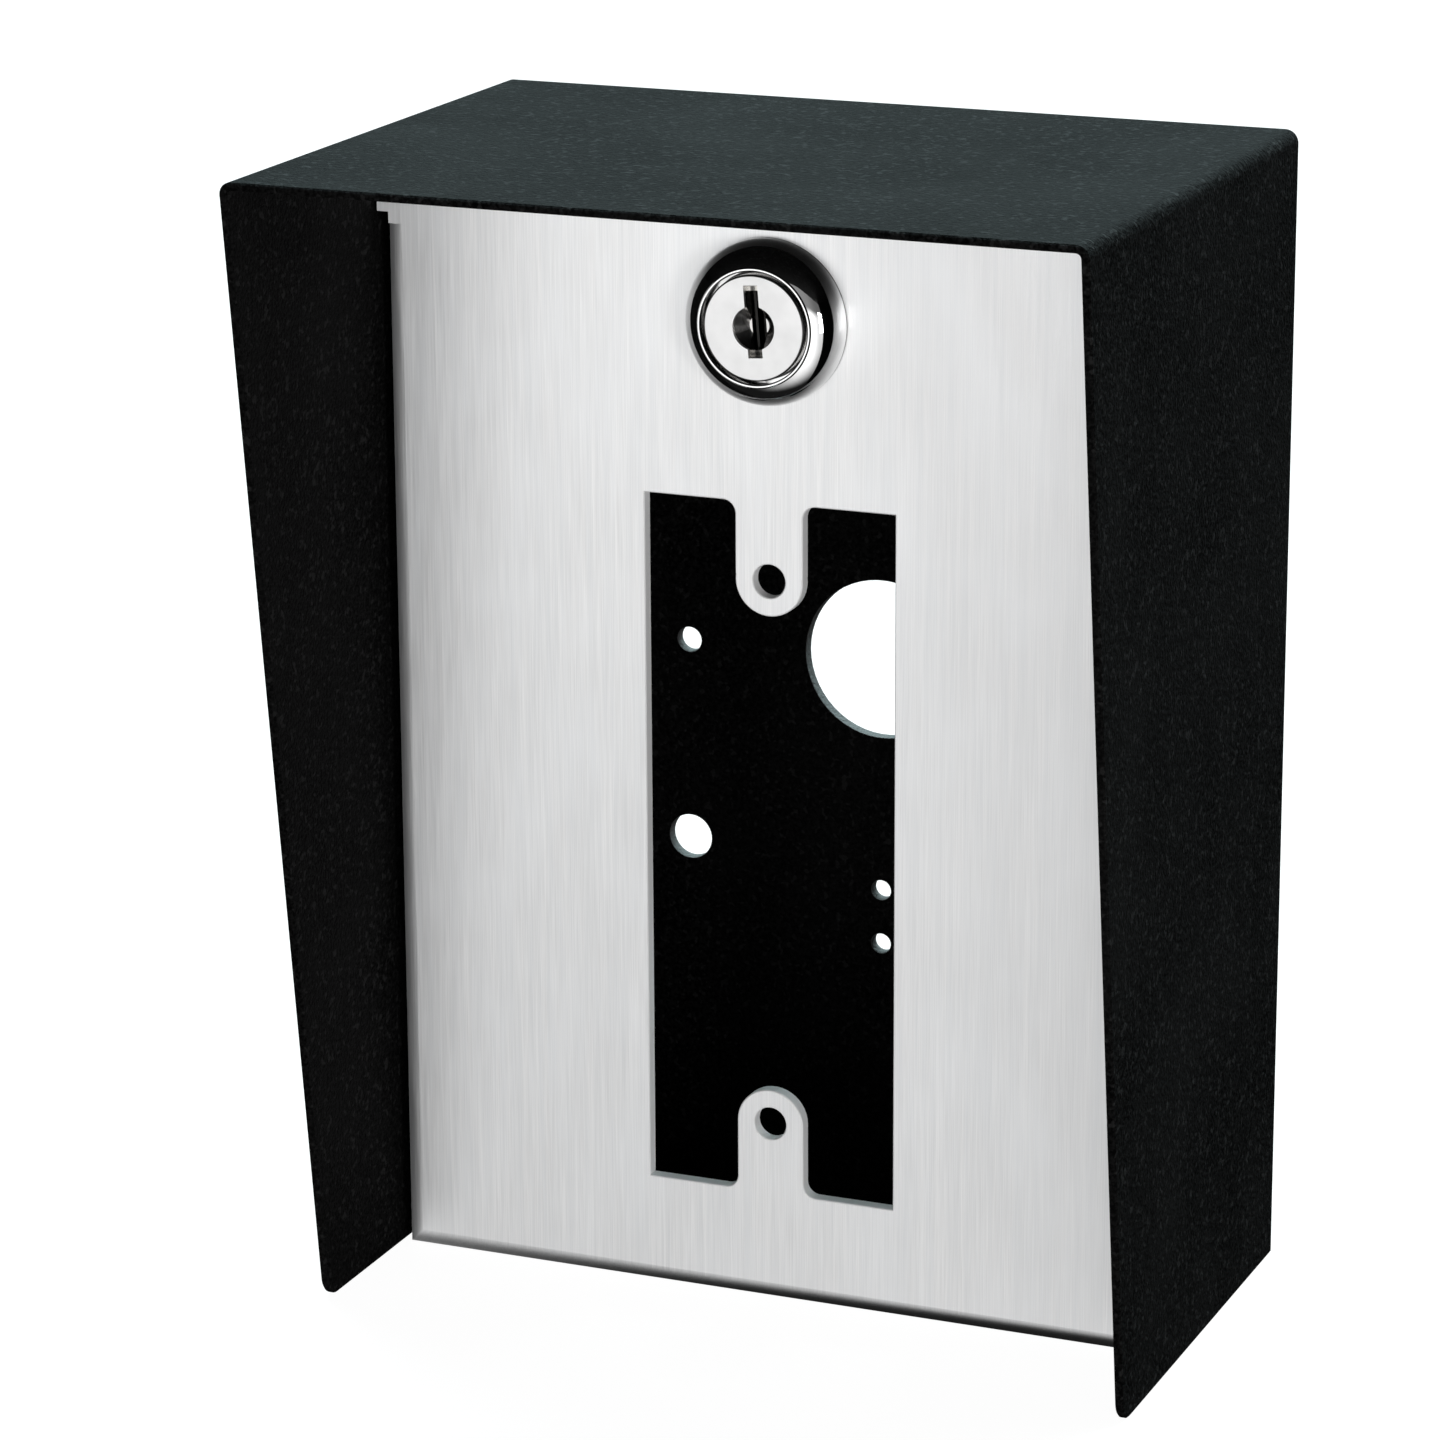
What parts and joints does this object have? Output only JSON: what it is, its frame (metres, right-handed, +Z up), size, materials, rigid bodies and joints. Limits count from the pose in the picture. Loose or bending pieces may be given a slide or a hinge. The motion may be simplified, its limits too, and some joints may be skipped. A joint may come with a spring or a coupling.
{
  "type": "lockable hooded housing for a door reader",
  "caption": "Wall or gooseneck mounted black steel housing with a rain hood and a lockable, bottom-hinged stainless faceplate cut out for a narrow door reader or intercom module.",
  "frame": {"origin": "centre of the cable hole on the rear face of the back", "axes": "+X to the right seen from the front, +Y towards the wall, so the front faces -Y, +Z up"},
  "size_m": [0.127, 0.0935, 0.174],
  "materials": {
    "black_powder_coat": "fine-textured matt powder coat",
    "brushed_stainless": "vertical brushed grain",
    "polished_chrome": "polished plating",
    "satin_stainless": "satin",
    "nickel_plug": "bright nickel plating",
    "zinc_plated_steel": "clear zinc plating",
    "spring_steel": "drawn wire",
    "nickel_silver": "stamped nickel silver",
    "brass_nut": "turned brass",
    "foam_rubber": "closed-cell foam",
    "white_nylon": "moulded nylon"
  },
  "bodies": {
    "housing": {"hood_shell": "black_powder_coat", "back_pan": "black_powder_coat", "earth_stud": "zinc_plated_steel", "earth_washer": "zinc_plated_steel", "earth_nut": "brass_nut", "top_seal": "foam_rubber", "lock_strike": "zinc_plated_steel", "pivot_brackets": "black_powder_coat", "pivot_pins": "zinc_plated_steel", "pivot_spacers": "white_nylon", "stop_left": "black_powder_coat", "stop_right": "black_powder_coat", "stop_pad_left": "foam_rubber", "stop_pad_right": "foam_rubber"},
    "faceplate": {"faceplate": "brushed_stainless", "lock_barrel": "polished_chrome", "lock_washer": "zinc_plated_steel", "lock_nut": "zinc_plated_steel"},
    "lock_plug": {"plug_cap": "satin_stainless", "plug": "nickel_plug", "wafer_springs": "spring_steel", "lock_cam": "zinc_plated_steel", "cam_washer": "zinc_plated_steel", "cam_nut": "zinc_plated_steel"},
    "wafer_set": {"wafers": "nickel_silver"}
  },
  "joints": [
    {"name": "faceplate_hinge", "type": "hinge", "parent": "housing", "child": "faceplate", "pos_m": [0, -0.0428, -0.0832], "axis": [1, 0, 0], "range_deg": [0, 90]},
    {"name": "lock_turn", "type": "hinge", "parent": "faceplate", "child": "lock_plug", "pos_m": [0, -0.0478, 0.0618], "axis": [0, 1, 0], "range_deg": [0, 94.5]},
    {"name": "wafer_slide", "type": "slide", "parent": "lock_plug", "child": "wafer_set", "axis": [-0.0785, 0, 0.9969], "range_m": [-0.0008, 0], "deforming": ["wafer_springs"]}
  ]
}
